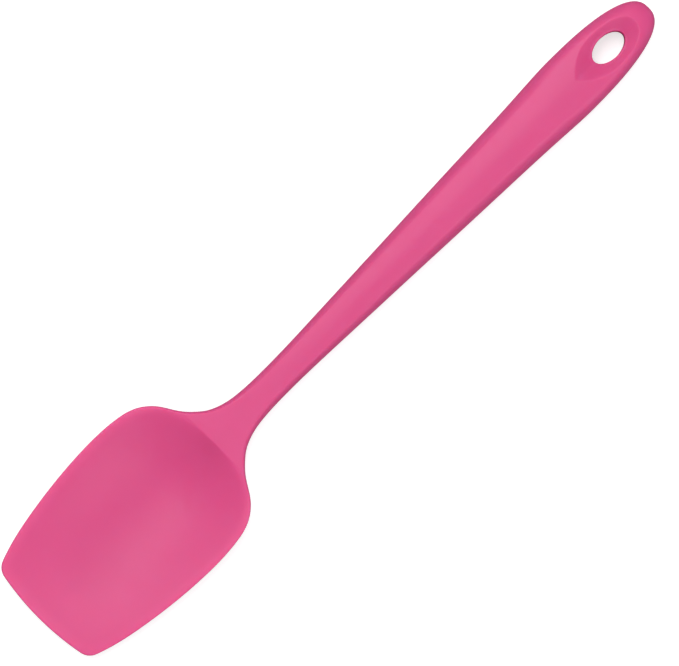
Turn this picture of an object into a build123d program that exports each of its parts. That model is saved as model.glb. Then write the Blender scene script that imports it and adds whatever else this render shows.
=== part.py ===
from build123d import *
import math
import os

os.makedirs("parts", exist_ok=True)

# Silicone spatula: one seamless silicone moulding over a stamped steel core.
# Millimetres. +X runs from the blade's tip to the end of the handle, +Z is up and
# the bowl opens upwards. The origin is at the middle of the part, on the surface
# that it lies on. The places below are measured along X from the tip.

# Plan sizes of the silicone
overall_length = 270.0
blade_length = 77.2
blade_width = 55.0
tip_width = 38.1
tip_bow = 1.6
tip_corner_radius = 5.1
root_width = 29.0
flare_length = 25.8
neck_width = 10.4
end_length = 35.5
handle_width = 20.7

# Heights of the silicone
handle_thickness = 11.6
crease_height = 10.6
tip_height = 6.2
lip_thickness = 1.2
rim_width = 1.3
floor_thickness = 2.6
back_wall_length = 17.2
neck_lift = 2.4
heel_length = 29.5
handle_crown = 0.75
dome_length = 16.0
rest_flat_depth = 0.1

# Hanging hole and the scoop round it, on both faces of the handle
hole_length = 12.4
hole_width = 7.5
hole_to_end = 17.9
scoop_lead = 8.4
scoop_tail = 7.3
scoop_width = 13.6
scoop_depth = 1.8

# Steel core
core_thickness = 1.5
core_height = 6.2
core_tip_setback = 5.7
core_tip_height = 2.7
core_bend_setback = 15.8
core_bend_radius = 30.0
tongue_width = 14.0
tongue_length = 7.0
tongue_corner = 4.0
core_neck_width = 6.6
core_neck_length = 14.0
waist_radius = 12.0
eye_wall = 2.1
eye_cover = 1.6
key_hole_length = 12.0
key_hole_width = 4.0
key_hole_lead = 23.0
key_hole_pitch = 24.0
key_hole_count = 5
tongue_hole_diameter = 3.0
tongue_hole_pitch = 7.0

# One overrun carries every cutting solid past the faces that it cuts
overrun = 4.0

# Shapes of the outline, as shares of the sizes that they follow
corner_inset_share = 0.4
tip_side_share = 0.35
side_shares = [(0.13, 0.815), (0.275, 0.903), (0.6, 0.998), (0.795, 0.974)]
shoulder_shares = [(0.86, 0.93), (0.925, 0.818), (0.957, 0.716), (0.985, 0.59)]
flare_shares = [(0.116, 0.645), (0.213, 0.419), (0.31, 0.269), (0.457, 0.129), (0.651, 0.043)]
handle_shares = [(0.2, 0.13), (0.43, 0.37), (0.665, 0.62), (0.905, 0.885)]
scoop_shares = [(0.09, 0.38), (0.25, 0.78), (0.5, 1.0), (0.75, 0.86), (0.93, 0.48)]
end_exponent = 2.55
end_reach_share = 0.9985

# Shapes of the side view
belly_exponent = 1.7
back_wall_exponent = 2.6
dome_exponent = 2.6

# Shapes of the cross sections: the share of the half width that is flat on top,
# the same below, how far the underside is a dish instead of a rounded bar, and
# how far below the top the widest point lies, as a share of the thickness. Each
# rounded corner, the keel and the bowl's trough are made in parts, so that no face
# of the moulding turns far.
section_place_shares = [0.0, 0.22, 0.286, 0.33, 0.381, 0.59, 0.87, 1.0]
top_flat_shares = [0.97, 0.975, 0.94, 0.84, 0.7, 0.6, 0.56, 0.5]
under_flat_shares = [0.3, 0.3, 0.3, 0.35, 0.45, 0.45, 0.45, 0.4]
dish_shares = [1.0, 1.0, 0.75, 0.25, 0.0, 0.0, 0.0, 0.0]
side_drop_shares = [0.5, 0.16, 0.24, 0.4, 0.47, 0.5, 0.5, 0.5]
round_share = 0.56
corner_parts = 5
trough_parts = 4
keel_parts = 2

# Places of the lofted sections, as shares of the stretch that they divide
side_station_shares = [0.0, 0.07, 0.16, 0.3, 0.47, 0.65, 0.83]
shoulder_station_shares = [0.0, 0.25, 0.45, 0.62, 0.78, 0.9, 1.0]
flare_station_shares = [0.12, 0.25, 0.4, 0.6, 0.8, 1.0]
handle_station_shares = [0.06, 0.13, 0.21, 0.3, 0.4, 0.5, 0.6, 0.7, 0.8, 0.9, 1.0]
end_station_shares = [0.14, 0.28, 0.42, 0.55, 0.67, 0.78, 0.87, 0.94, 0.98, 1.0]
shoulder_start_share = 0.78
corner_leave_angle = 8.0
floor_station_shares = [0.0, 0.15, 0.35, 0.55, 0.78]
wall_station_shares = [0.0, 0.3, 0.55, 0.75, 0.9, 1.0, 1.12]

half_length = overall_length / 2
half_blade = blade_width / 2
half_tip = tip_width / 2
half_root = root_width / 2
half_neck = neck_width / 2
half_handle = handle_width / 2
neck_place = blade_length + flare_length
handle_peak_place = overall_length - end_length
handle_length = handle_peak_place - neck_place
heel_place = handle_peak_place - heel_length
belly_place = blade_length - back_wall_length
hole_place = overall_length - hole_to_end
core_tip_place = blade_length - core_tip_setback
core_bend_place = blade_length + core_bend_setback


def ease(share):
    """A smooth step from 0 to 1, level at both ends."""
    share = min(max(share, 0.0), 1.0)
    return share * share * (3 - 2 * share)


def between(place, places, values):
    """The value at a place, read from a short table by straight lines."""
    for index in range(len(places) - 1):
        if place <= places[index + 1]:
            share = (place - places[index]) / (places[index + 1] - places[index])
            return values[index] + share * (values[index + 1] - values[index])
    return values[-1]


def read_curve(curve, place):
    """The Y of a plan curve at one X, found by halving, where X only grows along it."""
    low, high = 0.0, 1.0
    for _ in range(40):
        middle = (low + high) / 2
        if (curve @ middle).X < place:
            low = middle
        else:
            high = middle
    return (curve @ low).Y


def end_half_width(place):
    """Half the width of the handle's rounded end, a superellipse."""
    share = end_reach_share * (place - handle_peak_place) / end_length
    return half_handle * max(1 - share ** end_exponent, 0.0) ** (1 / end_exponent)


def side_points():
    """The half outline: side, shoulder, concave flare, neck and the widening handle."""
    points = [(-overrun, half_tip - tip_side_share * overrun), (0, half_tip)]
    for along, across in side_shares + shoulder_shares:
        points.append((along * blade_length, across * half_blade))
    points.append((blade_length, half_root))
    for along, across in flare_shares:
        points.append((blade_length + along * flare_length, half_neck + across * (half_root - half_neck)))
    points.append((neck_place, half_neck))
    for along, across in handle_shares:
        points.append((neck_place + along * handle_length, half_neck + across * (half_handle - half_neck)))
    points.append((handle_peak_place, half_handle))
    for share in end_station_shares[:2]:
        place = handle_peak_place + share * end_length
        points.append((place, end_half_width(place)))
    return points


side_curve = Spline(*side_points())


def half_width(place):
    """Half the outline's width at a place along the part, before the tip is trimmed."""
    if place <= handle_peak_place:
        return read_curve(side_curve, place)
    return end_half_width(place)


def top_height(place):
    """Height of the silicone's top: the rim of the blade, then the face of the handle."""
    if place <= blade_length:
        return tip_height + (crease_height - tip_height) * (place / blade_length)
    rise = (handle_thickness - crease_height) * ease((place - blade_length) / handle_length)
    return crease_height + rise


def under_height(place):
    """Height of the lowest line: convex belly, lifted neck, then the heel of the handle."""
    if place <= belly_place:
        return (tip_height - lip_thickness) * (1 - place / belly_place) ** belly_exponent
    if place <= neck_place:
        return neck_lift * ease((place - belly_place) / (neck_place - belly_place))
    return neck_lift * (1 - ease((place - neck_place) / (heel_place - neck_place)))


def floor_height(place):
    """Height of the bowl's floor on the centre line, with its steep back wall."""
    if place <= belly_place:
        share = (1 - place / belly_place) ** belly_exponent
        return floor_thickness + (tip_height - floor_thickness) * share
    share = (place - belly_place) / (blade_length - belly_place)
    return floor_thickness + (crease_height - floor_thickness) * share ** back_wall_exponent


def domed(place, height):
    """A height drawn in towards the middle of the handle where its end is domed."""
    dome_start = overall_length - dome_length
    if place <= dome_start:
        return height
    share = end_reach_share * (place - dome_start) / dome_length
    keep = max(1 - share ** dome_exponent, 0.0) ** (1 / dome_exponent)
    middle = handle_thickness / 2
    return middle + (height - middle) * keep


def in_parts(count, *points):
    """A curve pulled by its control points, cut into a few short curves in a row."""
    curve = Edge.make_bezier(*points)
    return [curve.trim(part / count, (part + 1) / count) for part in range(count)]


def section(place, half):
    """One closed cross section of the silicone's outer form."""
    share = place / overall_length
    top = domed(place, top_height(place))
    under = domed(place, under_height(place))
    side = top - between(share, section_place_shares, side_drop_shares) * (top - under)
    flat = between(share, section_place_shares, top_flat_shares) * half
    under_share = between(share, section_place_shares, under_flat_shares)
    dish = between(share, section_place_shares, dish_shares)
    crown = handle_crown * ease((place - blade_length) / handle_length) * (top - under) / handle_thickness
    depth = side - under
    foot = under_share * half
    foot_height = under + dish * depth * under_share ** 2
    bar_side = Vector(place, half, side - round_share * depth)
    bar_foot = Vector(place, foot + round_share * (half - foot), foot_height)
    turn = Vector(place, (half + foot) / 2, side - depth * (1 - under_share))
    side_point = Vector(place, half, side)
    foot_point = Vector(place, foot, foot_height)
    dish_side = side_point + (turn - side_point) * (2 / 3)
    dish_foot = foot_point + (turn - foot_point) * (2 / 3)
    lower_side = bar_side * (1 - dish) + dish_side * dish
    lower_foot = bar_foot * (1 - dish) + dish_foot * dish
    run = round_share * (half - flat)
    upper_flat = Vector(place, flat + run, top - 2 * crown * run / flat)
    upper_side = Vector(place, half, side + round_share * (top - side))
    flat_point = Vector(place, flat, top)

    def other(point):
        return Vector(point.X, -point.Y, point.Z)

    upper = [flat_point, upper_flat, upper_side, side_point]
    lower = [side_point, lower_side, lower_foot, foot_point]
    edges = [Edge.make_bezier(other(flat_point), Vector(place, 0, top + 2 * crown), flat_point)]
    edges += in_parts(corner_parts, *upper) + in_parts(corner_parts, *lower)
    keel_pull = Vector(place, 0, 2 * under - foot_height)
    edges += in_parts(keel_parts, foot_point, keel_pull, other(foot_point))
    edges += in_parts(corner_parts, *[other(point) for point in reversed(lower)])
    edges += in_parts(corner_parts, *[other(point) for point in reversed(upper)])
    return Face(Wire(edges))


def spread(start, end, shares):
    """Places between two ends, one for each share."""
    return [start + share * (end - start) for share in shares]


def outer_form():
    """The silicone without its bowl, scoops and hole, lofted through its sections."""
    shoulder_start = shoulder_start_share * blade_length
    places = spread(-overrun, shoulder_start, side_station_shares)
    places += spread(shoulder_start, blade_length, shoulder_station_shares)
    places += spread(blade_length, neck_place, flare_station_shares)
    places += spread(neck_place, handle_peak_place, handle_station_shares)
    places += spread(handle_peak_place, overall_length, end_station_shares)
    return loft([section(place, half_width(place)) for place in places])


def tip_trim():
    """A block ahead of the tip, whose back face is the bowed edge with its round corners."""
    chord = half_tip - corner_inset_share * tip_corner_radius
    radius = (chord ** 2 + tip_bow ** 2) / (2 * tip_bow)
    start_angle = math.degrees(math.atan2(radius - tip_bow, chord))
    leave_angle = math.degrees(math.atan(tip_side_share)) + corner_leave_angle
    turn = (start_angle - leave_angle) / 2
    step = Vector(1, 0).rotate(Axis.Z, (start_angle + leave_angle) / 2)
    start = Vector(tip_bow, chord)
    end = start + step * (2 * tip_corner_radius * math.sin(math.radians(turn)))
    away = end + Vector(1, 0).rotate(Axis.Z, leave_angle) * blade_width
    ahead = Vector(-2 * overrun, away.Y)
    corner = RadiusArc(start, end, tip_corner_radius)
    lines = [ThreePointArc(Vector(start.X, -start.Y), Vector(0, 0), start)]
    for line in (corner, Line(end, away), Line(away, ahead)):
        lines += [line, line.mirror(Plane.XZ)]
    lines.append(Line(ahead, Vector(ahead.X, -ahead.Y)))
    return extrude(make_face(lines), 2 * handle_thickness)


def bowl_section(place):
    """One section of the solid that hollows the bowl: a dish below, open upwards."""
    top = top_height(place)
    floor = floor_height(place)
    half = half_width(place) - rim_width
    depth = max(top - floor, rim_width * place / blade_length, 0)
    reach = half + rim_width + overrun
    reach_height = floor + depth * (reach / half) ** 2
    lid = crease_height + handle_thickness + reach_height - floor
    left = Vector(place, -reach, reach_height)
    right = Vector(place, reach, reach_height)
    edges = in_parts(trough_parts, left, Vector(place, 0, 2 * floor - reach_height), right)
    edges += [
        Edge.make_line(right, Vector(place, reach, lid)),
        Edge.make_line(Vector(place, reach, lid), Vector(place, -reach, lid)),
        Edge.make_line(Vector(place, -reach, lid), left),
    ]
    return Face(Wire(edges))


def bowl_hollow():
    """The space of the bowl, lofted from just inside the tip to past the crease."""
    places = spread(-overrun, belly_place, floor_station_shares)
    places += spread(belly_place, blade_length, wall_station_shares)
    return loft([bowl_section(place) for place in places])


def oval(length, width, place, height):
    """A flat oval with its long axis along the handle."""
    return Pos(place, 0, height) * Ellipse(length / 2, width / 2)


def scoop_outline(height):
    """The scoop's outline: a blunt point towards the neck, round towards the end."""
    half = scoop_width / 2
    first = hole_place - hole_length / 2 - scoop_lead
    last = hole_place + hole_length / 2 + scoop_tail
    points = [Vector(first, 0, height)]
    for along, across in scoop_shares:
        points.append(Vector(first + along * (last - first), across * half, height))
    points.append(Vector(last, 0, height))
    upper = Spline(*points, tangents=[(1, 1), (0, -1)])
    return make_face([upper, upper.mirror(Plane.XZ)])


def scoop(face_height, outward):
    """The space of one scoop, sloping from its outline down to the hanging hole."""
    rim = scoop_outline(face_height)
    foot = oval(hole_length, hole_width, hole_place, face_height - outward * scoop_depth)
    return loft([foot, rim]) + extrude(rim, outward * overrun)


def hanging_hole():
    """The oval hole right through the end of the handle."""
    return extrude(oval(hole_length, hole_width, hole_place, -overrun), handle_thickness + 2 * overrun)


def core_strip():
    """The bent strip that the core is stamped from, wider than the core."""
    path = FilletPolyline(
        (core_tip_place, 0, core_tip_height),
        (core_bend_place, 0, core_height),
        (overall_length, 0, core_height),
        radius=core_bend_radius,
    )
    blank = Plane(origin=path @ 0, x_dir=(0, 1, 0), z_dir=path % 0)
    return sweep(blank * Rectangle(handle_width, core_thickness), path)


def core_outline():
    """The core's outline in plan: tongue, waist, widening shank and the eye."""
    half_tongue = tongue_width / 2
    half_waist = core_neck_width / 2
    half_hole_length = hole_length / 2 + eye_cover
    half_hole_width = hole_width / 2 + eye_cover
    waist_start = neck_place - core_neck_length / 2
    points = [
        (core_tip_place, -half_tongue),
        (core_tip_place, half_tongue),
        (core_tip_place + tongue_length, half_tongue),
        (waist_start, half_waist),
        (waist_start + core_neck_length, half_waist),
        (hole_place, half_hole_width + eye_wall),
        (hole_place, -half_hole_width - eye_wall),
        (waist_start + core_neck_length, -half_waist),
        (waist_start, -half_waist),
        (core_tip_place + tongue_length, -half_tongue),
    ]
    shank = make_face(Polyline(*points, close=True))
    corners = shank.vertices().filter_by(lambda v: v.X < core_tip_place + tongue_corner)
    shank = fillet(corners, tongue_corner)
    waist = shank.vertices().filter_by(lambda v: abs(v.X - waist_start) < tongue_corner / 2)
    shank = fillet(waist, waist_radius)
    eye = oval(2 * (half_hole_length + eye_wall), 2 * (half_hole_width + eye_wall), hole_place, 0)
    opening = oval(2 * half_hole_length, 2 * half_hole_width, hole_place, 0)
    return shank + eye - opening


def key_holes():
    """The holes that the silicone runs through to key itself to the core."""
    holes = []
    for index in range(key_hole_count):
        slot = SlotOverall(key_hole_length, key_hole_width)
        holes.append(Pos(neck_place + key_hole_lead + index * key_hole_pitch, 0, 0) * slot)
    for side in (-1, 1):
        place = core_tip_place + tongue_corner + tongue_hole_diameter / 2
        holes.append(Pos(place, side * tongue_hole_pitch / 2, 0) * Circle(tongue_hole_diameter / 2))
    return holes


def steel_core():
    """The stamped core: its outline and holes cut through the bent strip."""
    outline = core_outline()
    for hole in key_holes():
        outline = outline - hole
    return core_strip() & extrude(outline, handle_thickness)


def silicone_body(core):
    """The moulding: the outer form with its bowl, scoops and hole, moulded round the core."""
    form = outer_form() - tip_trim() - bowl_hollow()
    form = form - scoop(handle_thickness, 1) - scoop(0, -1) - hanging_hole()
    below = extrude(Pos(half_length, 0, rest_flat_depth) * Rectangle(overall_length, blade_width), -overrun)
    return form - below - core


core = steel_core()
body = silicone_body(core)
lift = Pos(-half_length, 0, -rest_flat_depth)
export_step(lift * core, "parts/steel_core.step")
export_step(lift * body, "parts/silicone_body.step")
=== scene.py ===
# %% [markdown]
# This lesson dresses a kitchen spatula moulded in one piece of silicone: a dished
# blade that thins to a square tip, a crease where the bowl ends, a slim neck and a
# long handle with an oval hanging hole. A steel core is sealed inside. The packed
# part is loaded first and stays as it is; everything new is fitted over it.

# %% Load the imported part
import math

import bmesh
import bpy
import numpy as np
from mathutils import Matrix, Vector


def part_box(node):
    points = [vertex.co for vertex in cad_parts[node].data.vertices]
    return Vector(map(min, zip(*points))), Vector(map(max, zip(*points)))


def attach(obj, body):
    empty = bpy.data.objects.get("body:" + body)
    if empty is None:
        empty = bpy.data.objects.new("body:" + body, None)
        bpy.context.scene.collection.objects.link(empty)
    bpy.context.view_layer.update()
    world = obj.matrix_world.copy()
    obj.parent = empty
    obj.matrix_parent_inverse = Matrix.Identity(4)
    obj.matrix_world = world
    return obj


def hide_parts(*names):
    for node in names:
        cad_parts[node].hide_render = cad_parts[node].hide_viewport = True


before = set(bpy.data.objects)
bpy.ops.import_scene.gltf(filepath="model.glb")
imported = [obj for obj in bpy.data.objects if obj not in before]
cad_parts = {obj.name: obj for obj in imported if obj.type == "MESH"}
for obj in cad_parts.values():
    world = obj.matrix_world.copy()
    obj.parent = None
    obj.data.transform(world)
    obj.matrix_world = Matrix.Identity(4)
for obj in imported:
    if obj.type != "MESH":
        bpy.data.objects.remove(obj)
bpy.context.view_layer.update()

body_low, body_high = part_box("silicone_body")
print("silicone body from", tuple(body_low), "to", tuple(body_high))

# %% [markdown]
# A moulding like this is drawn by its plan and its side view. Most sizes follow from
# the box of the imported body, so that the new surface fits it. The rest are lengths
# that a maker would write on the drawing. Places are counted from the blade's tip
# along the part, and heights from the drawing's base, a hair under the table.

# %% Sizes of the moulding
MM = 0.001

length = body_high[0] - body_low[0]
blade_width = body_high[1] - body_low[1]
handle_thickness = 11.25 * MM
rest_flat_depth = 0.1 * MM

blade_length = 77.2 * MM
tip_width = 38.1 * MM
tip_bow = 1.6 * MM
tip_corner_radius = 5.1 * MM
root_width = 29.0 * MM
neck_place = 103.0 * MM
neck_width = 10.4 * MM
end_length = 35.5 * MM
handle_width = 20.7 * MM

peak_place = length - end_length
half_blade, half_tip, half_root = blade_width / 2, tip_width / 2, root_width / 2
half_neck, half_handle = neck_width / 2, handle_width / 2
print("length %.1f mm, blade %.1f mm wide" % (length / MM, blade_width / MM))

# %% [markdown]
# Many lines of a soft moulding are curves drawn through a few chosen points. A natural
# cubic spline is the thin bent lath of the drawing office: it passes through every
# point and bends as evenly as it can. It needs one small system of equations.

# %% A curve through a few points
def lath(places, values, at):
    """Height of a bent lath: on each span a cubic, with the bending at the knots
    solved so that slope and bending agree there and the two ends lie unbent."""
    places, values = np.asarray(places, float), np.asarray(values, float)
    span = np.diff(places)
    slope = np.diff(values) / span
    size = len(places)
    system = np.eye(size)
    inner = np.arange(1, size - 1)
    system[inner, inner] = 2 * (span[:-1] + span[1:])
    system[inner, inner - 1] = span[:-1]
    system[inner, inner + 1] = span[1:]
    right = np.zeros(size)
    right[1:-1] = 6 * np.diff(slope)
    bend = np.linalg.solve(system, right)
    index = np.clip(np.searchsorted(places, at) - 1, 0, size - 2)
    after = at - places[index]
    before = places[index + 1] - at
    width = span[index]
    return (
        (bend[index] * before**3 + bend[index + 1] * after**3) / (6 * width)
        + (values[index] / width - bend[index] * width / 6) * before
        + (values[index + 1] / width - bend[index + 1] * width / 6) * after
    )


def step(at, start, end):
    """A smooth step from 0 to 1 between two places, level at both ends."""
    share = np.clip((at - start) / (end - start), 0.0, 1.0)
    return share * share * (3 - 2 * share)


print("a lath through 0, 1, 0 is %.3f high half way up" % lath([0, 1, 2], [0, 1, 0], np.array([0.5]))[0])

# %% [markdown]
# Seen from above, the blade widens from its tip, turns in at the shoulders and runs
# down a hollow flare into the neck. The handle widens slowly to its peak and closes
# in a rounded end. The sides are one lath through shares of the sizes. The end is a
# superellipse, a rounder relative of the ellipse.

# %% Half widths along the part
side_shares = np.array([(0.13, 0.815), (0.275, 0.903), (0.6, 0.9973), (0.795, 0.974)])
shoulder_shares = np.array([(0.86, 0.93), (0.925, 0.818), (0.957, 0.716), (0.985, 0.59)])
flare_shares = np.array([(0.116, 0.645), (0.213, 0.419), (0.31, 0.269), (0.457, 0.129), (0.651, 0.043)])
handle_shares = np.array([(0.2, 0.13), (0.43, 0.37), (0.665, 0.62), (0.905, 0.885)])
tip_side_share = 0.35
end_exponent = 2.55
lead = 4.0 * MM
end_knot_shares = np.array([0.14, 0.28])


def end_half_width(place):
    """Half width of the rounded end: the superellipse (x/a)^n + (y/b)^n = 1."""
    share = np.clip((place - peak_place) / end_length, 0.0, 1.0)
    return half_handle * (1 - share**end_exponent) ** (1 / end_exponent)


blade_shares = np.vstack([side_shares, shoulder_shares])
end_places = peak_place + end_knot_shares * end_length
knot_places = np.concatenate([
    [-lead, 0.0],
    blade_shares[:, 0] * blade_length,
    [blade_length],
    blade_length + flare_shares[:, 0] * (neck_place - blade_length),
    [neck_place],
    neck_place + handle_shares[:, 0] * (peak_place - neck_place),
    [peak_place],
    end_places,
])
knot_widths = np.concatenate([
    [half_tip - tip_side_share * lead, half_tip],
    blade_shares[:, 1] * half_blade,
    [half_root],
    half_neck + flare_shares[:, 1] * (half_root - half_neck),
    [half_neck],
    half_neck + handle_shares[:, 1] * (half_handle - half_neck),
    [half_handle],
    end_half_width(end_places),
])


def half_width(place):
    """Half the width of the plan: the lath up to the handle's peak, then the end's curve."""
    place = np.asarray(place, float)
    return np.where(place <= peak_place, lath(knot_places, knot_widths, place), end_half_width(place))


print("half widths in mm at the neck and the peak:", half_width([neck_place, peak_place]) / MM)

# %% [markdown]
# The tip is a long flat bow with small round corners. Both arcs turn to the right, and
# the corner has to arrive on the side, pointing along it. The angle where the bow
# gives way to the corner is found by trying many and reading off the one that fits.

# %% The outline from the middle of the tip to the end of the handle
corner_inset = 0.4
least_turn, most_turn, tries = 0.02, 0.4, 4000
arc_count, side_count, end_count = 200, 12000, 3000


def tip_arcs():
    """Bow and corner: an arc of radius R turns its heading h, and the way it covers is
    R times the change of (sin h, -cos h). The side's line closes the sum."""
    chord = half_tip - corner_inset * tip_corner_radius
    radius = (chord**2 + tip_bow**2) / (2 * tip_bow)
    side_heading = math.atan(tip_side_share)
    turn = np.linspace(least_turn, most_turn, tries)
    heading = math.pi / 2 - turn
    across = radius * np.sin(turn) + tip_corner_radius * (math.cos(side_heading) - np.cos(heading))
    along = radius * (1 - np.cos(turn)) + tip_corner_radius * (np.sin(heading) - math.sin(side_heading))
    miss = across - half_tip - tip_side_share * along
    found = np.interp(0.0, miss, turn)
    bow_turn = np.linspace(0.0, found, arc_count)
    bow = np.stack([radius * (1 - np.cos(bow_turn)), radius * np.sin(bow_turn)], axis=1)
    heads = np.linspace(math.pi / 2 - found, side_heading, arc_count)[1:]
    corner = bow[-1] + tip_corner_radius * np.stack(
        [np.sin(heads[0]) - np.sin(heads), np.cos(heads) - np.cos(heads[0])], axis=1
    )
    return bow, corner


bow, corner = tip_arcs()
side_places = np.linspace(corner[-1, 0], peak_place, side_count)[1:]
side = np.stack([side_places, half_width(side_places)], axis=1)
end_angle = np.linspace(math.pi / 2, 0.0, end_count)[1:]
end = np.stack([
    peak_place + end_length * np.abs(np.cos(end_angle)) ** (2 / end_exponent),
    half_handle * np.abs(np.sin(end_angle)) ** (2 / end_exponent),
], axis=1)
end[-1] = (length, 0.0)
outline = np.vstack([bow, corner, side, end])
outline_run = np.concatenate([[0.0], np.cumsum(np.hypot(*np.diff(outline, axis=0).T))])
print("half outline %.1f mm long, corner ends at" % (outline_run[-1] / MM), corner[-1] / MM)

# %% [markdown]
# The side view has four lines: the rim and the handle's face on top, the floor of the
# bowl, and the belly with the lifted neck below. The bowl's back wall is steep and
# meets the neck in a crease that bows a little towards the handle.

# %% Heights along the part
tip_height = 6.2 * MM
crease_height = 10.6 * MM
lip_thickness = 1.25 * MM
floor_thickness = 2.6 * MM
belly_place = 60.0 * MM
belly_exponent = 1.7
neck_lift = 2.4 * MM
heel_place = 205.0 * MM
handle_crown = 1.1 * MM
wall_place = 52.0 * MM
wall_exponent = 2.4
crease_end_place = 76.75 * MM
crease_bow = 0.95 * MM
crease_half = half_width(crease_end_place)


def top_height(place):
    """Rim of the blade, a straight rise, then the face of the handle, a smooth step."""
    blade = tip_height + (crease_height - tip_height) * place / blade_length
    neck = crease_height + (handle_thickness - crease_height) * step(place, blade_length, peak_place)
    return np.where(place <= blade_length, blade, neck)


def under_height(place):
    """Belly curving down to the table, then up into the neck and down to the heel."""
    belly = (tip_height - lip_thickness) * np.clip(1 - place / belly_place, 0.0, 1.0) ** belly_exponent
    lift = neck_lift * step(place, belly_place, neck_place)
    return belly + lift * (1 - step(place, neck_place, heel_place))


def crease_line(across):
    """Place of the crease: a shallow parabola across the root of the blade."""
    return crease_end_place + crease_bow * (1 - (across / crease_half) ** 2)


def floor_height(place, across):
    """Floor of the bowl: the belly's curve, then a power curve up the back wall."""
    rise = np.clip(1 - place / belly_place, 0.0, None) ** belly_exponent
    wall = np.clip((place - wall_place) / (crease_line(across) - wall_place), 0.0, None) ** wall_exponent
    to_tip, to_crease = tip_height - floor_thickness, crease_height - floor_thickness
    return floor_thickness + to_tip * rise + to_crease * wall


print("neck underside lifts to %.2f mm" % (under_height(np.array([neck_place]))[0] / MM))

# %% [markdown]
# The surface is one sheet of stations and rows. Stations follow the outline, closer
# together where it turns or where the crease and the scoop lie. Rows run inward from
# each station: first square to the edge across the rounded side, then on to a line in
# the middle, which is the axis of the part and, at the end, the rim of the scoop.

# %% Stations along the outline
spacing_places = MM * np.array([-1, 8, 40, 62, 75, 77, 79, 90, 110, 215, 236, 252, 262, 271])
spacings = np.array([0.55, 0.9, 1.15, 0.6, 0.22, 0.16, 0.24, 0.8, 1.3, 1.3, 0.5, 0.45, 0.5, 0.5])
scoop_place = 237.0 * MM
scoop_wide_place = 251.0 * MM
scoop_end_place = 263.9 * MM
crease_room, point_room, wide_room = 0.3 * MM, 0.5 * MM, 1.0 * MM
nudge = 0.05 * MM


def stations(start, stop):
    """Runs along the outline spaced as the wanted spacing says: its reciprocal is added
    up along the outline, and equal steps of that sum are read back."""
    spacing = MM * lath(spacing_places, spacings, outline[:, 0])
    count = np.concatenate([[0.0], np.cumsum(np.diff(outline_run) / spacing[1:])])
    first, last = np.interp([start, stop], outline_run, count)
    steps = max(int(round(last - first)), 1)
    return np.interp(np.linspace(first, last, steps + 1), count, outline_run)


crease_run = np.interp(crease_end_place + crease_room, outline[:, 0], outline_run)
scoop_run = np.interp(scoop_place - point_room, outline[:, 0], outline_run)
wide_run = np.interp(scoop_wide_place + wide_room, outline[:, 0], outline_run)
marks = [0.0, crease_run, scoop_run, wide_run, outline_run[-1]]
parts = [stations(a, b) for a, b in zip(marks, marks[1:])]
run = np.concatenate([parts[0]] + [part[1:] for part in parts[1:]])
at_scoop = np.argmin(np.abs(run - scoop_run))
edge = np.stack([np.interp(run, outline_run, outline[:, axis]) for axis in (0, 1)], axis=1)
ahead = np.stack([np.interp(run + nudge, outline_run, outline[:, axis]) for axis in (0, 1)], axis=1)
behind = np.stack([np.interp(run - nudge, outline_run, outline[:, axis]) for axis in (0, 1)], axis=1)
inward = (ahead - behind)[:, ::-1] * (1, -1)
inward[0], inward[-1] = (1, 0), (-1, 0)
inward /= np.hypot(*inward.T)[:, None]
print(len(run), "stations on half the outline")

# %% [markdown]
# Now the inner line. On the blade a station near the tip looks far back along the axis,
# so the fan of rows has no crowded pole. Over the crease each station stands opposite
# its own place on the axis, which lays one whole line of the mesh on the crease. At
# the end the inner line leaves the axis and follows the rim of the scoop.

# %% The scoop's rim and the inner line
hole_place = 252.1 * MM
hole_length = 12.4 * MM
hole_width = 7.5 * MM
scoop_half = 6.65 * MM
point_exponent, round_exponent = 2.5, 2.15
fan_end_place, square_place = 50 * MM, 74 * MM
eye_start_place = 215 * MM
late_exponent = 1.5
rim_count = 4000


def scoop_rim(count):
    """Half the rim: y = h (1 - (1 - u)^2.5) from the blunt point to the widest place,
    then the superellipse x^2.15 + y^2.15 = 1 round to the axis."""
    share = np.linspace(0.0, 1.0, count)
    first = np.stack([
        scoop_place + share * (scoop_wide_place - scoop_place),
        scoop_half * (1 - (1 - share) ** point_exponent),
    ], axis=1)
    angle = np.linspace(math.pi / 2, 0.0, count)[1:]
    along, across = np.abs([np.cos(angle), np.sin(angle)]) ** (2 / round_exponent)
    second = np.stack([
        scoop_wide_place + along * (scoop_end_place - scoop_wide_place), scoop_half * across
    ], axis=1)
    second[-1] = (scoop_end_place, 0.0)
    return np.vstack([first, second])


rim = scoop_rim(rim_count)
rim_run = np.concatenate([[0.0], np.cumsum(np.hypot(*np.diff(rim, axis=0).T))])
rim_wide_run = rim_run[np.argmax(rim[:, 1])]

spine_run = MM * np.array([0.0, 9.0, 17.5, 24.0, 35.0, 60.0, 78.0])
spine_place = MM * np.array([4.0, 10.0, 18.0, 22.5, 30.0, 49.0, 63.5])


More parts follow.
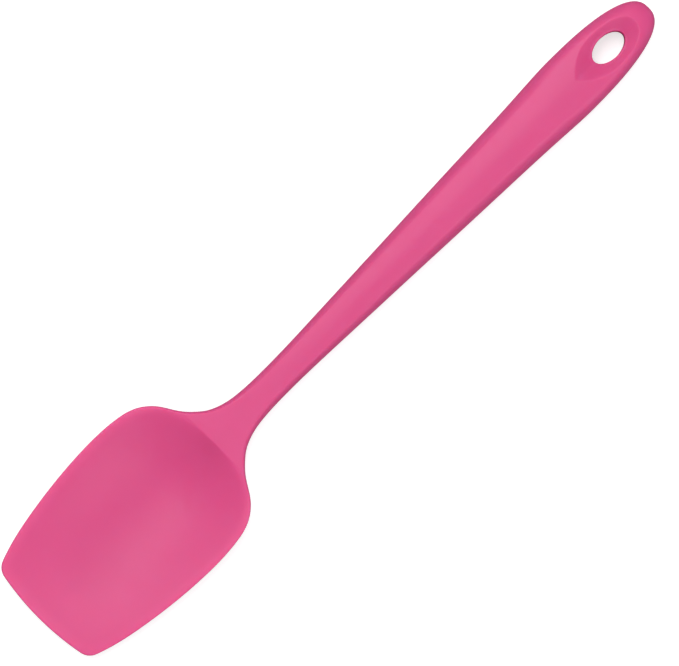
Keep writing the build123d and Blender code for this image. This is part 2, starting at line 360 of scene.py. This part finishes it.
def inner_line(band):
    """Where each station's rows end: on the axis opposite the edge of the rounded band,
    drawn back towards the tip on the blade, and along the rim of the scoop at the end."""
    start = edge + inward * band[:, None]
    looking_back = lath(spine_run, spine_place, np.minimum(run, spine_run[-1]))
    opposite = start[:, 0] + crease_bow * (start[:, 1] / crease_half) ** 2
    share = step(start[:, 0], fan_end_place, square_place)
    axis_place = (1 - share) * looking_back + share * opposite
    shift = (scoop_place - axis_place[at_scoop]) * step(edge[:, 0], eye_start_place, edge[at_scoop, 0])
    line = np.stack([axis_place + shift, np.zeros_like(run)], axis=1)
    first = (run - scoop_run) / (wide_run - scoop_run) * rim_wide_run
    late = np.clip((run - wide_run) / (run[-1] - wide_run), 0.0, 1.0)
    second = rim_wide_run + (1 - (1 - late) ** late_exponent) * (rim_run[-1] - rim_wide_run)
    along_rim = np.where(run <= wide_run, first, second)
    on_rim = np.stack([np.interp(along_rim, rim_run, rim[:, axis]) for axis in (0, 1)], axis=1)
    line[at_scoop:] = on_rim[at_scoop:]
    return start, line


print("scoop %.1f mm long, %.1f mm wide" % ((scoop_end_place - scoop_place) / MM, 2 * scoop_half / MM))

# %% [markdown]
# The rounded side of a moulding is nearly a quarter of an ellipse: a little fuller on
# the lip and round the end, a little leaner along the handle, where it leaves a soft
# ridge along the flat face. It is narrow on the lip, and on the handle it takes over a
# third of the half width above and more than half of it below.

# %% The rounded side
top_flat_share = 0.63
under_flat_share = 0.42
scoop_flat_share = 0.72
bar_exponent = 1.85
end_side_exponent = 2.3
lip_round = 0.62 * MM
lip_overrun = 6 * MM
scoop_lead = 12 * MM
ridge_lead = 10 * MM


def inside_share(place, across):
    """How far out a point lies: 0 on the axis, 1 on the outline, by the same
    superellipse as the outline at the end and by the half width elsewhere."""
    along = np.clip((place - peak_place) / end_length, 0.0, None)
    beside = np.abs(across) / half_handle
    on_end = (along**end_exponent + beside**end_exponent) ** (1 / end_exponent)
    out = np.abs(across) / half_width(np.minimum(place, peak_place))
    return np.where(place <= peak_place, out, on_end)


def flat_part(place, flat_share):
    """Share of the half width that is flat: wider round the scoop, so that the scoop's
    rim lies on the face."""
    return flat_share + (scoop_flat_share - flat_share) * step(place, peak_place - scoop_lead, hole_place)


def side_run(place, flat_share):
    """Width of the rounded side: the lip's on the blade, a share of the half width on
    the handle, with a smooth step between over the flare."""
    round_share = 1 - flat_part(place, flat_share)
    half = np.where(place < neck_place, half_neck, half_width(np.minimum(place, peak_place)))
    bar = round_share * half
    change = step(place, blade_length - lip_overrun, neck_place)
    return (1 - change) * lip_round + change * bar


def fullness(place, share):
    """Height across a rounded side: 0 at the outline, 1 where the face begins, by
    (1 - (1 - q)^n)^(1/n). A small n leaves a soft ridge where the face begins, and n
    grows past 2 on the lip and round the end."""
    along = step(place, blade_length, neck_place) * (1 - step(place, peak_place - ridge_lead, scoop_place))
    power = end_side_exponent + (bar_exponent - end_side_exponent) * along
    share = np.clip(share, 0.0, 1.0)
    return (1 - (1 - share) ** power) ** (1 / power)


print("rounded side at the neck %.2f mm" % (side_run(np.array([neck_place]), top_flat_share)[0] / MM))

# %% [markdown]
# The rows of one station: a few close ones over the rounded side, spaced like equal
# angles of its arc, then even ones to the inner line. On the blade they follow the
# same shallow parabola as the crease.

# %% Rows of one face
edge_rows, face_rows = 13, 30
eye_room_share, bar_room_share = 0.6, 4
room_power = 6.0
bow_lead = 30 * MM
form_place = neck_place + 30 * MM


def face_grid(flat_share):
    """Plan places of all stations and rows, and how far each lies from the outline as
    a share of the rounded side."""
    wide = side_run(edge[:, 0], flat_share)
    gap = np.hypot(*(inner_line(wide)[1] - edge).T)
    room = gap * np.where(np.arange(len(run)) >= at_scoop, eye_room_share, bar_room_share)
    band = (wide**-room_power + room**-room_power) ** (-1 / room_power)
    start, line = inner_line(band)
    angle = np.linspace(0.0, math.pi / 2, edge_rows)
    out = band[:, None] * (1 - np.cos(angle))
    near = edge[:, None, :] + inward[:, None, :] * out[:, :, None]
    share = np.linspace(0.0, 1.0, face_rows + 1)[1:]
    left = 1 - share
    bowed = left[None, :] ** (2 - step(run, scoop_run - bow_lead, scoop_run))[:, None]
    far = np.stack([
        line[:, :1] + (start[:, :1] - line[:, :1]) * bowed,
        line[:, 1:] + (start[:, 1:] - line[:, 1:]) * left,
    ], axis=2)
    plan = np.concatenate([near, far], axis=1)
    depth = np.concatenate([out, band[:, None] + share * gap[:, None]], axis=1)
    place, across = plan[:, :, 0], plan[:, :, 1]
    by_edge = depth / wide[:, None]
    by_form = (1 - inside_share(place, across)) / (1 - flat_part(place, flat_share))
    share_in = np.where(edge[:, :1] > form_place, by_form, by_edge)
    share_in[:, 0] = 0.0
    return place, across, share_in, depth


print(edge_rows + face_rows, "points from each station to the inner line")

# %% [markdown]
# The bowl is a trough whose cross section flattens out again towards the rim, as a
# spoon's does. Where it meets the face of the neck the lower of the two surfaces
# counts, with the corner between them eased by a smooth minimum.

# %% The top face
rim_width = 1.0 * MM
spoon_share = 0.65
crease_ease = 0.1 * MM
crown_start_place, crown_full_place = neck_place - 15 * MM, peak_place - 60 * MM
ease_start_place, ease_full_place = belly_place - 5 * MM, blade_length - 4 * MM
least_ease = 1e-9
far_above = 1.0


def bowl(place, across):
    """Floor plus depth times a cross curve, part parabola u^2 and part spoon curve
    1.5 u^2 - 0.5 u^6, where u is 1 at the inside of the rim."""
    out = np.clip(np.abs(across) / (half_width(place) - rim_width), 0.0, 1.0)
    curve = (1 - spoon_share) * out**2 + spoon_share * (1.5 * out**2 - 0.5 * out**6)
    floor = floor_height(place, across)
    return floor + np.clip(top_height(place) - floor, 0.0, None) * curve


def top_face(place, across):
    """The lower of bowl and neck, a smooth minimum, plus the handle's slight crown."""
    out = np.clip(inside_share(place, across), 0.0, 1.0)
    crown = handle_crown * step(place, crown_start_place, crown_full_place)
    neck = top_height(place) + crown * (1 - out**2) ** 2
    dish = np.where(place < neck_place, bowl(np.minimum(place, neck_place), across), neck + far_above)
    ease = crease_ease * step(place, ease_start_place, ease_full_place) + least_ease
    lower = np.minimum(dish, neck) - ease * np.log1p(np.exp(-np.abs(dish - neck) / ease))
    return np.where(place < neck_place, lower, neck)


crest = top_face(np.array([crown_full_place]), np.zeros(1))[0]
print("crest of the handle at %.2f mm" % (crest / MM))

# %% [markdown]
# Below, the blade is a shallow hull and the handle a bar with broad round edges. One
# smooth step over the flare leads from the one to the other, and from the thin lip
# to the middle of the bar where the two halves of the mould meet.

# %% The underside and the side line
bar_start_place = belly_place + 2 * MM
# From here on the distance from the edge gets 5 mm more, which ends the painted glow of the lip on the
# neck and the handle.
painted_glow_start_place, painted_glow_end_place = blade_length - 8 * MM, blade_length + 6 * MM
past_painted_glow = 5


def bar_share(place):
    """0 on the blade, 1 from the neck on, a smooth step."""
    return step(place, bar_start_place, neck_place)


def side_height(place):
    """Height of the outline: the middle of the lip, then the middle of the bar."""
    lip = top_height(place) - lip_thickness / 2
    middle = (top_height(place) + under_height(place)) / 2
    return lip + bar_share(place) * (middle - lip)


def under_face(place, across):
    """Hull: the belly line plus a parabola up to the lip. Bar: flat. Mixed by the step."""
    out = np.clip(inside_share(place, across), 0.0, 1.0)
    low = under_height(place)
    hull = low + (top_height(place) - lip_thickness - low) * out**2
    return hull + bar_share(place) * (low - hull)


def face_sheet(face, flat_share):
    """One face, drawn in to the side line over the rounded side. Two more columns, in
    millimetres, serve its finish: how far a point lies from the outline, the root of
    height^2 + depth^2 counted from there, and how far in from the edge of the blade,
    with 5 mm more on the neck and the handle. That last column places the painted glow
    near the lip's edge, which the 5 mm keep off the neck and the handle, and the
    painted shade far in from the edge."""
    place, across, share_in, depth = face_grid(flat_share)
    side_line = side_height(place[:, :1])
    height = side_line + (face(place, across) - side_line) * fullness(place, share_in)
    from_outline = np.hypot(height - side_line, depth) / MM
    from_lip = depth / MM + past_painted_glow * step(place, painted_glow_start_place, painted_glow_end_place)
    return np.stack([place, across, height, from_outline, from_lip], axis=2)


top_sheet = face_sheet(top_face, top_flat_share)
under_sheet = face_sheet(under_face, under_flat_share)
print("top sheet", top_sheet.shape, "highest %.2f mm" % (top_sheet[:, :, 2].max() / MM))

# %% [markdown]
# The scoop slopes from its soft rim down to the hanging hole, and the hole's edge is
# rounded where a hook rubs it. One profile serves every station: a slope that starts
# gently, a small quarter round, and the straight wall of the hole.

# %% The scoop and the hole
scoop_side_depth = 1.35 * MM
scoop_end_depth = 2.2 * MM
hole_round = 0.55 * MM
slope_rows, round_rows, wall_rows = 14, 6, 7
slope_exponent = 1.5
rim_ease = 0.35 * MM
beyond_bead = 9.0
# These places set the painted shade in the scoop: little at its sides, more at its ends.
side_painted_shade_place, end_painted_shade_place = 6, 22


def scoop_sheet(rim_points, outward):
    """Rows from the rim to half way down the hole. The slope falls by
    (sqrt(v^2 + e^2) - e) / (sqrt(1 + e^2) - e), the edge by a quarter of a circle. The
    finish's columns say: no bead here, and a painted shade, deeper towards the scoop's ends."""
    middle = handle_thickness / 2
    angle = np.arctan2(rim_points[:, 1] / hole_width, (rim_points[:, 0] - hole_place) / hole_length)
    ray = np.stack([np.cos(angle), np.sin(angle)], axis=1)
    ray[-1] = (1, 0)
    ray[0] = (-1, 0)
    depth = scoop_side_depth + (scoop_end_depth - scoop_side_depth) * ray[:, :1] ** 2
    foot = middle + outward * (middle - depth)
    hole = (hole_place, 0.0) + ray * (hole_length / 2, hole_width / 2)
    brink = (hole_place, 0.0) + ray * (hole_length / 2 + hole_round, hole_width / 2 + hole_round)
    share = np.linspace(0.0, 1.0, slope_rows) ** slope_exponent
    soft = rim_ease / np.hypot(*(brink - rim_points[:, :2]).T)[:, None]
    fall = (np.sqrt(share**2 + soft**2) - soft) / (np.sqrt(1 + soft**2) - soft)
    slope = np.concatenate([
        rim_points[:, None, :2] + (brink - rim_points[:, :2])[:, None, :] * share[:, None],
        (rim_points[:, 2:] + (foot - rim_points[:, 2:]) * fall)[:, :, None],
    ], axis=2)
    turn = np.linspace(0.0, math.pi / 2, round_rows + 1)[1:]
    rounding = np.concatenate([
        brink[:, None, :] + (hole - brink)[:, None, :] * np.sin(turn)[:, None],
        (foot - outward * hole_round * (1 - np.cos(turn)))[:, :, None],
    ], axis=2)
    down = np.linspace(0.0, 1.0, wall_rows + 1)[1:]
    brow = foot - outward * hole_round
    wall = np.concatenate([
        np.broadcast_to(hole[:, None, :], (len(ray), wall_rows, 2)),
        (brow + (middle - brow) * down)[:, :, None],
    ], axis=2)
    sheet = np.concatenate([slope, rounding, wall], axis=1)
    painted_shade_place = side_painted_shade_place + (end_painted_shade_place - side_painted_shade_place) * ray[:, :1] ** 2
    from_outline = np.full(sheet.shape[:2], beyond_bead)
    from_lip = np.broadcast_to(painted_shade_place, sheet.shape[:2])
    return np.concatenate([sheet, np.stack([from_outline, from_lip], axis=2)], axis=2)


top_scoop = scoop_sheet(top_sheet[at_scoop:, -1, :3], 1)
under_scoop = scoop_sheet(under_sheet[at_scoop:, -1, :3], -1)
top_scoop[:, 0] = top_sheet[at_scoop:, -1]
under_scoop[:, 0] = under_sheet[at_scoop:, -1]
print("scoop stations", top_scoop.shape[0])

# %% [markdown]
# Four sheets make one half of the skin, and their mirror images the other. Points that
# fall together are welded by their rounded coordinates, so the skin is closed, and
# every face is wound so that it looks outwards.

# %% Weld the sheets into one closed skin
weld_width = 0.0005 * MM


def quads(stations_count, rows_count, first, up):
    """Corner numbers of all four-sided faces of one sheet, wound up or down."""
    i, j = np.meshgrid(np.arange(stations_count - 1), np.arange(rows_count - 1), indexing="ij")
    a = first + i * rows_count + j
    ring = np.stack([a, a + 1, a + rows_count + 1, a + rows_count], axis=2).reshape(-1, 4)
    return ring if up else ring[:, ::-1]


def skin(sheets):
    """Points and faces of all sheets and their mirror images, moved into the part's
    frame, cut flat where they would reach under the table, and welded."""
    points, faces, first = [], [], 0
    for sheet, up in sheets:
        for mirror in (1, -1):
            points.append((sheet * (1, mirror, 1, 1, 1)).reshape(-1, 5))
            faces.append(quads(*sheet.shape[:2], first, up == (mirror == 1)))
            first += points[-1].shape[0]
    points = np.vstack(points) - (length / 2, 0, rest_flat_depth, 0, 0)
    points[:, 2] = np.maximum(points[:, 2], 0.0)
    keys = np.round(points[:, :3] / weld_width).astype(np.int64)
    _, kept, number = np.unique(keys, axis=0, return_index=True, return_inverse=True)
    return points[kept], number.reshape(-1)[np.vstack(faces)]


def new_piece(name, points, faces, **columns):
    """A mesh object at the origin, filled from whole arrays and shaded smooth. Each
    further column of numbers becomes an attribute of the points."""
    mesh = bpy.data.meshes.new(name)
    mesh.vertices.add(len(points))
    mesh.vertices.foreach_set("co", points.astype(np.float32).ravel())
    mesh.loops.add(faces.size)
    mesh.loops.foreach_set("vertex_index", faces.astype(np.int32).ravel())
    mesh.polygons.add(len(faces))
    mesh.polygons.foreach_set("loop_start", np.arange(0, faces.size, 4, dtype=np.int32))
    mesh.polygons.foreach_set("use_smooth", np.ones(len(faces), bool))
    mesh.update(calc_edges=True)
    mesh.validate()
    for label, values in columns.items():
        column = mesh.attributes.new(label, "FLOAT", "POINT")
        column.data.foreach_set("value", values.astype(np.float32))
    piece = bpy.data.objects.new(name, mesh)
    bpy.context.scene.collection.objects.link(piece)
    return piece


points, faces = skin([(top_sheet, True), (under_sheet, False), (top_scoop, True), (under_scoop, False)])
spatula_skin = new_piece(
    "silicone_skin", points[:, :3], faces, from_outline_mm=points[:, 3], from_lip_mm=points[:, 4]
)
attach(spatula_skin, "root")
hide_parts("silicone_body")

check = bmesh.new()
check.from_mesh(spatula_skin.data)
volume = check.calc_volume(signed=True) / (10 * MM) ** 3
open_edges = sum(not side.is_manifold for side in check.edges)
check.free()
print("skin:", len(points), "points,", 2 * len(faces), "triangles,", open_edges, "open edges")
print("volume %.1f cm3" % volume)

# %% [markdown]
# The silicone is matt, because the steel mould was blasted with fine beads. Close to,
# it shows that grain and a slight unevenness of tone. Both effects are of use to the
# steel core too, so they are built once, as node groups with inputs of their own: one
# gives a slow wander between two limits, the other a height for a Bump node.

# %% Node groups for wander and grain
SHARE, FIRST, SECOND, MIXED = 0, 6, 7, 2
dust_fineness = 2.7
pit_share = 0.6


def node(tree, kind, values=(), **settings):
    """A node with its settings and the values of its inputs, named or numbered."""
    made = tree.nodes.new(kind)
    for key, value in settings.items():
        setattr(made, key, value)
    for key, value in dict(values).items():
        made.inputs[key].default_value = value
    return made


def mix(tree, first, second):
    """A node that mixes two colours. Its inputs and its output go by number: the share
    is input 0, the colours are inputs 6 and 7, and the mixed colour is output 2."""
    colours = {FIRST: (*first, 1), SECOND: (*second, 1)}
    return node(tree, "ShaderNodeMix", colours, data_type="RGBA")


def even_grey(value):
    """The same value for red, green and blue."""
    return (value, value, value)


def ramp(tree, start, end, low, high):
    """A node that steps smoothly from low at start to high at end."""
    limits = {"From Min": start, "From Max": end, "To Min": low, "To Max": high}
    return node(tree, "ShaderNodeMapRange", limits, interpolation_type="SMOOTHSTEP")


def new_group(name, takes, gives):
    """An empty node group with sockets, and its two end nodes."""
    tree = bpy.data.node_groups.new(name, "ShaderNodeTree")
    for label, kind, default in takes:
        socket = tree.interface.new_socket(label, in_out="INPUT", socket_type=kind)
        if default is not None:
            socket.default_value = default
    for label, kind in gives:
        tree.interface.new_socket(label, in_out="OUTPUT", socket_type=kind)
    return tree, tree.nodes.new("NodeGroupInput"), tree.nodes.new("NodeGroupOutput")


def slow_wander():
    """Noise of a wide scale, spread between a low and a high value."""
    tree, start, end = new_group("slow_wander", [
        ("Vector", "NodeSocketVector", None), ("Scale", "NodeSocketFloat", 60.0),
        ("Low", "NodeSocketFloat", 0.0), ("High", "NodeSocketFloat", 1.0),
    ], [("Value", "NodeSocketFloat")])
    noise = node(tree, "ShaderNodeTexNoise", {"Detail": 3.0, "Roughness": 0.55})
    spread = node(tree, "ShaderNodeMapRange", {"From Min": 0.3, "From Max": 0.7})
    tree.links.new(start.outputs["Vector"], noise.inputs["Vector"])
    tree.links.new(start.outputs["Scale"], noise.inputs["Scale"])
    tree.links.new(noise.outputs["Fac"], spread.inputs["Value"])
    tree.links.new(start.outputs["Low"], spread.inputs["To Min"])
    tree.links.new(start.outputs["High"], spread.inputs["To Max"])
    tree.links.new(spread.outputs["Result"], end.inputs["Value"])
    return tree


def blasted_grain():
    """Height of a blasted surface: close shallow pits with a finer noise over them."""
    tree, start, end = new_group("blasted_grain", [
        ("Vector", "NodeSocketVector", None), ("Scale", "NodeSocketFloat", 3000.0),
    ], [("Height", "NodeSocketFloat")])
    pits = node(tree, "ShaderNodeTexVoronoi", {"Randomness": 1.0}, feature="SMOOTH_F1")
    dust = node(tree, "ShaderNodeTexNoise", {"Detail": 2.0})
    finer = node(tree, "ShaderNodeMath", {1: dust_fineness}, operation="MULTIPLY")
    total = node(tree, "ShaderNodeMath", {1: pit_share}, operation="MULTIPLY_ADD")
    for texture in (pits, dust):
        tree.links.new(start.outputs["Vector"], texture.inputs["Vector"])
    tree.links.new(start.outputs["Scale"], pits.inputs["Scale"])
    tree.links.new(start.outputs["Scale"], finer.inputs[0])
    tree.links.new(finer.outputs["Value"], dust.inputs["Scale"])
    tree.links.new(pits.outputs["Distance"], total.inputs[0])
    tree.links.new(dust.outputs["Fac"], total.inputs[2])
    tree.links.new(total.outputs["Value"], end.inputs["Height"])
    return tree


def use(tree, group, **values):
    """One use of a node group in a material, with its own values."""
    made = tree.nodes.new("ShaderNodeGroup")
    made.node_tree = group
    for key, value in values.items():
        made.inputs[key].default_value = value
    return made


wander, grain = slow_wander(), blasted_grain()
print("groups:", wander.name, grain.name)

# %% [markdown]
# The two halves of the mould meet along the side of the moulding, and a hair of
# silicone creeps between them. A column of numbers in the mesh says how far each
# point lies from that line, so the material can raise a fine bead there. A second
# column says how far a point lies in from the edge of the blade. Near the edge the
# colour is painted lighter and redder, a painted glow for light shining through the
# thin silicone, and far in, most over the middle of the bowl and at the ends of the
# scoop, it is painted a little deeper, a painted shade. Places and widths of the
# finish are millimetres, like the columns, and the heights of its bumps are metres.

# %% The silicone
# The third colour is a painted glow along the thin lip; the first is both the dark end of the tone's
# random wander and a painted shade far in from the edge.
berry_dark_and_painted_shade = (0.610, 0.0635, 0.212)
berry_light = (0.655, 0.0715, 0.230)
berry_painted_glow = (0.720, 0.088, 0.256)
painted_glow_width, painted_glow = 4.0, 0.7
painted_shade_start, painted_shade_end, light_left_in_painted_shade = 10.0, 24.0, 0.25
bead_width, bead_height = 0.2, 0.1 * MM
grain_height = 0.02 * MM


def new_material(name):
    """An empty node material with its shader and its output."""
    material = bpy.data.materials.new(name)
    material.use_nodes = True
    return material, material.node_tree, material.node_tree.nodes["Principled BSDF"]


def berry_silicone():
    """Silicone: tone and gloss wander slightly, the lip is painted lighter as a painted
    glow, the middle of the bowl and the ends of the scoop are painted deeper as a painted
    shade, and the grain and the parting bead are bumps. Light scatters a little way under it."""
    material, tree, shader = new_material("berry_silicone")
    place = node(tree, "ShaderNodeTexCoord")
    tone = use(tree, wander, Scale=38.0, Low=0.6, High=1.0)
    gloss = use(tree, wander, Scale=55.0, Low=0.46, High=0.50)
    pits = use(tree, grain, Scale=2600.0)
    # The mixes and ramps below paint light into the colour: a painted shade far in from the edge, over the
    # bowl and the scoop's ends, and a painted glow near the lip's edge.
    berry = mix(tree, berry_dark_and_painted_shade, berry_light)
    painted_glow_mix = mix(tree, berry_light, berry_painted_glow)
    lip = node(tree, "ShaderNodeAttribute", attribute_name="from_lip_mm")
    painted_glow_share = ramp(tree, 0.0, painted_glow_width, painted_glow, 0.0)
    painted_shade_ramp = ramp(tree, painted_shade_start, painted_shade_end, 1.0, light_left_in_painted_shade)
    tone_and_painted_shade = node(tree, "ShaderNodeMath", operation="MULTIPLY")
    parting = node(tree, "ShaderNodeAttribute", attribute_name="from_outline_mm")
    bead = ramp(tree, 0.0, bead_width, 1.0, 0.0)
    bead_bump = node(tree, "ShaderNodeBump", {"Strength": 0.8, "Distance": bead_height})
    grain_bump = node(tree, "ShaderNodeBump", {"Strength": 0.5, "Distance": grain_height})
    for group in (tone, gloss, pits):
        tree.links.new(place.outputs["Object"], group.inputs["Vector"])
    tree.links.new(lip.outputs["Fac"], painted_shade_ramp.inputs["Value"])
    tree.links.new(tone.outputs["Value"], tone_and_painted_shade.inputs[0])
    tree.links.new(painted_shade_ramp.outputs["Result"], tone_and_painted_shade.inputs[1])
    tree.links.new(tone_and_painted_shade.outputs["Value"], berry.inputs[SHARE])
    tree.links.new(lip.outputs["Fac"], painted_glow_share.inputs["Value"])
    tree.links.new(painted_glow_share.outputs["Result"], painted_glow_mix.inputs[SHARE])
    tree.links.new(berry.outputs[MIXED], painted_glow_mix.inputs[FIRST])
    tree.links.new(painted_glow_mix.outputs[MIXED], shader.inputs["Base Color"])
    tree.links.new(gloss.outputs["Value"], shader.inputs["Roughness"])
    tree.links.new(parting.outputs["Fac"], bead.inputs["Value"])
    tree.links.new(bead.outputs["Result"], bead_bump.inputs["Height"])
    tree.links.new(pits.outputs["Height"], grain_bump.inputs["Height"])
    tree.links.new(bead_bump.outputs["Normal"], grain_bump.inputs["Normal"])
    tree.links.new(grain_bump.outputs["Normal"], shader.inputs["Normal"])
    shader.inputs["IOR"].default_value = 1.41
    shader.inputs["Specular IOR Level"].default_value = 0.40
    shader.inputs["Subsurface Weight"].default_value = 0.5
    shader.inputs["Subsurface Radius"].default_value = (1.0, 0.22, 0.38)
    shader.inputs["Subsurface Scale"].default_value = 2.6 * MM
    return material


silicone = berry_silicone()
spatula_skin.data.materials.append(silicone)
print("silicone nodes:", len(silicone.node_tree.nodes))

# %% [markdown]
# The core is sealed in the silicone, yet the model can be cut open or looked into, so
# it has its own finish: cold rolled steel with long fine scratches. A Mapping node
# stretches the grain along the strip, which turns its pits into the lines of rolling.

# %% The steel core
steel_dark, steel_light = (0.50, 0.50, 0.51), (0.62, 0.62, 0.63)
scratch_stretch = (0.03, 1.0, 1.0)
scratch_height = 0.01 * MM


def rolled_steel():
    """Steel: full metal, scratches from stretched grain, gloss that wanders."""
    material, tree, shader = new_material("rolled_steel")
    place = node(tree, "ShaderNodeTexCoord")
    stretch = node(tree, "ShaderNodeMapping", {"Scale": scratch_stretch})
    tone = use(tree, wander, Scale=120.0, Low=0.0, High=1.0)
    gloss = use(tree, wander, Scale=90.0, Low=0.28, High=0.42)
    lines = use(tree, grain, Scale=2200.0)
    grey = mix(tree, steel_dark, steel_light)
    bump = node(tree, "ShaderNodeBump", {"Strength": 0.3, "Distance": scratch_height})
    tree.links.new(place.outputs["Object"], stretch.inputs["Vector"])
    for group in (tone, gloss, lines):
        tree.links.new(stretch.outputs["Vector"], group.inputs["Vector"])
    tree.links.new(tone.outputs["Value"], grey.inputs[SHARE])
    tree.links.new(grey.outputs[MIXED], shader.inputs["Base Color"])
    tree.links.new(gloss.outputs["Value"], shader.inputs["Roughness"])
    tree.links.new(lines.outputs["Height"], bump.inputs["Height"])
    tree.links.new(bump.outputs["Normal"], shader.inputs["Normal"])
    shader.inputs["Metallic"].default_value = 1.0
    return material


steel = rolled_steel()
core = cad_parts["steel_core"]
for slot in core.material_slots:
    slot.link = "OBJECT"
    slot.material = steel
print("core slots:", len(core.material_slots), "steel nodes:", len(steel.node_tree.nodes))

# %% [markdown]
# The spatula lies on a plain white table. In such a picture the table is lit until it
# is pure white, yet it must not light the sides of the handle as strongly. A Light
# Path node keeps these apart: the table is white to the camera, a mid grey to the
# light that bounces off it and a dark grey to reflections, as if the set were flagged
# off with grey and black card.

# %% The table
table_half = 3.0
bounce_grey, mirror_grey, camera_grey, table_glow = 0.55, 0.12, 0.5, 0.7
table_mesh = bpy.data.meshes.new("table")
table_corners = [(x * table_half, y * table_half, 0) for x, y in ((-1, -1), (1, -1), (1, 1), (-1, 1))]
table_mesh.from_pydata(table_corners, [], [(0, 1, 2, 3)])
table = bpy.data.objects.new("table", table_mesh)
bpy.context.scene.collection.objects.link(table)
white_table, tree, shader = new_material("white_table")
ray = node(tree, "ShaderNodeLightPath")
bounce = mix(tree, even_grey(bounce_grey), even_grey(mirror_grey))
paint = mix(tree, even_grey(bounce_grey), even_grey(camera_grey))
tree.links.new(ray.outputs["Is Glossy Ray"], bounce.inputs[SHARE])
tree.links.new(bounce.outputs[MIXED], paint.inputs[FIRST])
tree.links.new(ray.outputs["Is Camera Ray"], paint.inputs[SHARE])
tree.links.new(paint.outputs[MIXED], shader.inputs["Base Color"])
tree.links.new(ray.outputs["Is Camera Ray"], shader.inputs["Emission Strength"])
shader.inputs["Emission Color"].default_value = (*even_grey(table_glow), 1)
shader.inputs["Roughness"].default_value = 0.9
table_mesh.materials.append(white_table)
print("table", 2 * table_half, "m wide")

# %% [markdown]
# The photograph looks straight down through a long lens, with the spatula lying
# across the frame from lower left to upper right. The lens is worked out from the
# width of table that the picture takes in.

# %% Camera
sensor_width = 36
view_width = 213.0 * MM
camera_height = 2.0
photo_turn = math.radians(-45.065)
view_x, view_y = -5.38 * MM, -3.53 * MM
camera_data = bpy.data.cameras.new("camera")
camera_data.sensor_width = sensor_width
camera_data.lens = sensor_width * camera_height / view_width
camera = bpy.data.objects.new("camera", camera_data)
camera.location = (view_x, view_y, camera_height)
camera.rotation_euler = (0, 0, photo_turn)
bpy.context.scene.collection.objects.link(camera)
bpy.context.scene.camera = camera
print("lens %.0f mm" % camera_data.lens)

# %% [markdown]
# The light is soft and comes from above. One large softbox hangs high over the upper
# long side and the handle, so level faces are bright and every slope away from it
# falls off evenly. A weaker strip over the other long side lights the ridge there, a
# faint low one fills the upper side of the handle, and an even white sky the rest.

# %% Lights
def softbox(name, location, width, height, power):
    """A rectangular area light aimed at the middle of the part."""
    data = bpy.data.lights.new(name, "AREA")
    data.shape = "RECTANGLE"
    data.size, data.size_y, data.energy = width, height, power
    light = bpy.data.objects.new(name, data)
    light.location = location
    light.rotation_euler = (-Vector(location)).to_track_quat("-Z", "Y").to_euler()
    bpy.context.scene.collection.objects.link(light)
    return light


key_light = softbox("key_light", (0.35, 0.85, 2.35), 1.3, 1.3, 42.4)
ridge_light = softbox("ridge_light", (0.10, -1.25, 1.35), 0.9, 0.5, 12.0)
edge_light = softbox("edge_light", (0.0, 1.6, 0.55), 1.2, 0.5, 3.5)
sky = bpy.data.worlds.new("sky")
sky.use_nodes = True
sky.node_tree.nodes["Background"].inputs["Color"].default_value = (1, 1, 1, 1)
sky.node_tree.nodes["Background"].inputs["Strength"].default_value = 0.32
bpy.context.scene.world = sky
bpy.context.scene.view_settings.view_transform = "Standard"
print("lights:", key_light.name, ridge_light.name, edge_light.name, sky.name)
